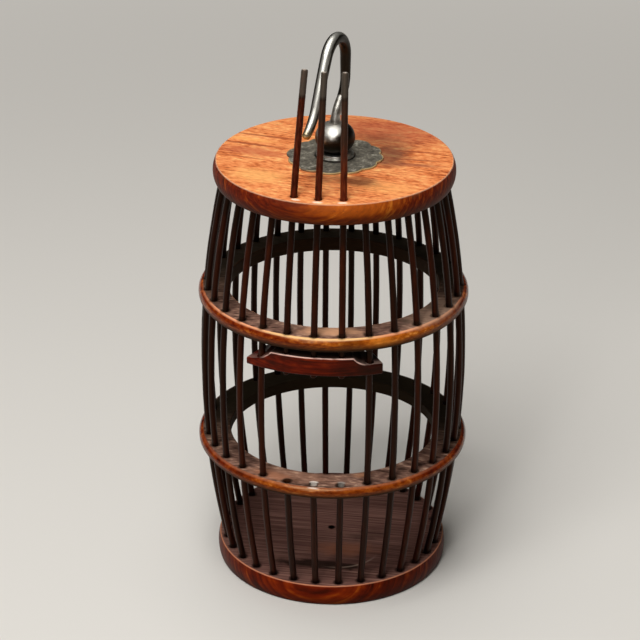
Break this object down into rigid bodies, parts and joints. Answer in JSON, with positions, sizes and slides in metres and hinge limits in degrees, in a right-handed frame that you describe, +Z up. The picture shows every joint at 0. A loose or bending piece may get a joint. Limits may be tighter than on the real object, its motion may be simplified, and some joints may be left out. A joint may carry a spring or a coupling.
{
  "type": "cricket cage",
  "caption": "Barrel-shaped wooden cage of bowed rods through hoops, with a rod door that slides up through the lid and a swivelling hook to hang it by.",
  "frame": {"origin": "middle of the underside of the base, on the surface the cage stands on", "axes": "+Z up along the barrel's axis; the door faces -Y and is centred on it"},
  "size_m": [0.1126, 0.1126, 0.2332],
  "materials": {
    "lid_wood": "waxed rosewood, orange-brown with dark figure",
    "hoop_wood": "waxed rosewood, polished on the outer edge and dusty on the flat",
    "base_wood": "waxed rosewood, worn along the edge",
    "rod_wood": "dark scraped and waxed rods",
    "bar_wood": "carved and waxed rosewood",
    "hook_metal": "dark polished white copper, handled bright",
    "plate_metal": "grey-green patina, rubbed bright at the edge"
  },
  "bodies": {
    "cage": {"base": "base_wood", "lower_hoop": "hoop_wood", "upper_hoop": "hoop_wood", "lid": "lid_wood", "rod_2": "rod_wood", "rod_3": "rod_wood", "rod_4": "rod_wood", "rod_5": "rod_wood", "rod_6": "rod_wood", "rod_7": "rod_wood", "rod_8": "rod_wood", "rod_9": "rod_wood", "rod_10": "rod_wood", "rod_11": "rod_wood", "rod_12": "rod_wood", "rod_13": "rod_wood", "rod_14": "rod_wood", "rod_15": "rod_wood", "rod_16": "rod_wood", "rod_17": "rod_wood", "rod_18": "rod_wood", "rod_19": "rod_wood", "rod_20": "rod_wood", "rod_21": "rod_wood", "rod_22": "rod_wood", "rod_23": "rod_wood", "rod_24": "rod_wood", "rod_25": "rod_wood", "rod_26": "rod_wood", "rod_27": "rod_wood", "rod_28": "rod_wood", "short_rod_left": "rod_wood", "short_rod_middle": "rod_wood", "short_rod_right": "rod_wood", "hook_plate": "plate_metal"},
    "door": {"door_bar": "bar_wood", "door_rod_middle": "rod_wood"},
    "door_left": {"door_rod_left": "rod_wood"},
    "door_right": {"door_rod_right": "rod_wood"},
    "hook": {"hook": "hook_metal", "hook_ball": "hook_metal", "swivel_washer": "hook_metal", "swivel_pin": "hook_metal", "pin_washer": "hook_metal"}
  },
  "joints": [
    {"name": "door_slide", "type": "hinge", "parent": "cage", "child": "door", "pos_m": [0, 0.3314, 0.0905], "axis": [1, 0, 0], "range_deg": [-0.24, 7.47]},
    {"name": "door_left_slide", "type": "hinge", "parent": "cage", "child": "door_left", "pos_m": [0.03911, 0.32928, 0.0905], "axis": [0.9914, -0.1305, 0], "range_deg": [-0.24, 7.47]},
    {"name": "door_right_slide", "type": "hinge", "parent": "cage", "child": "door_right", "pos_m": [-0.03911, 0.32928, 0.0905], "axis": [0.9914, 0.1305, 0], "range_deg": [-0.24, 7.47]},
    {"name": "hook_swivel", "type": "hinge", "parent": "cage", "child": "hook", "pos_m": [0, 0.0012, 0.19], "axis": [0, 0, 1], "continuous": true}
  ],
  "couplings": [
    {"joint": "door_left_slide", "follows": "door_slide", "ratio": 1},
    {"joint": "door_right_slide", "follows": "door_slide", "ratio": 1}
  ]
}
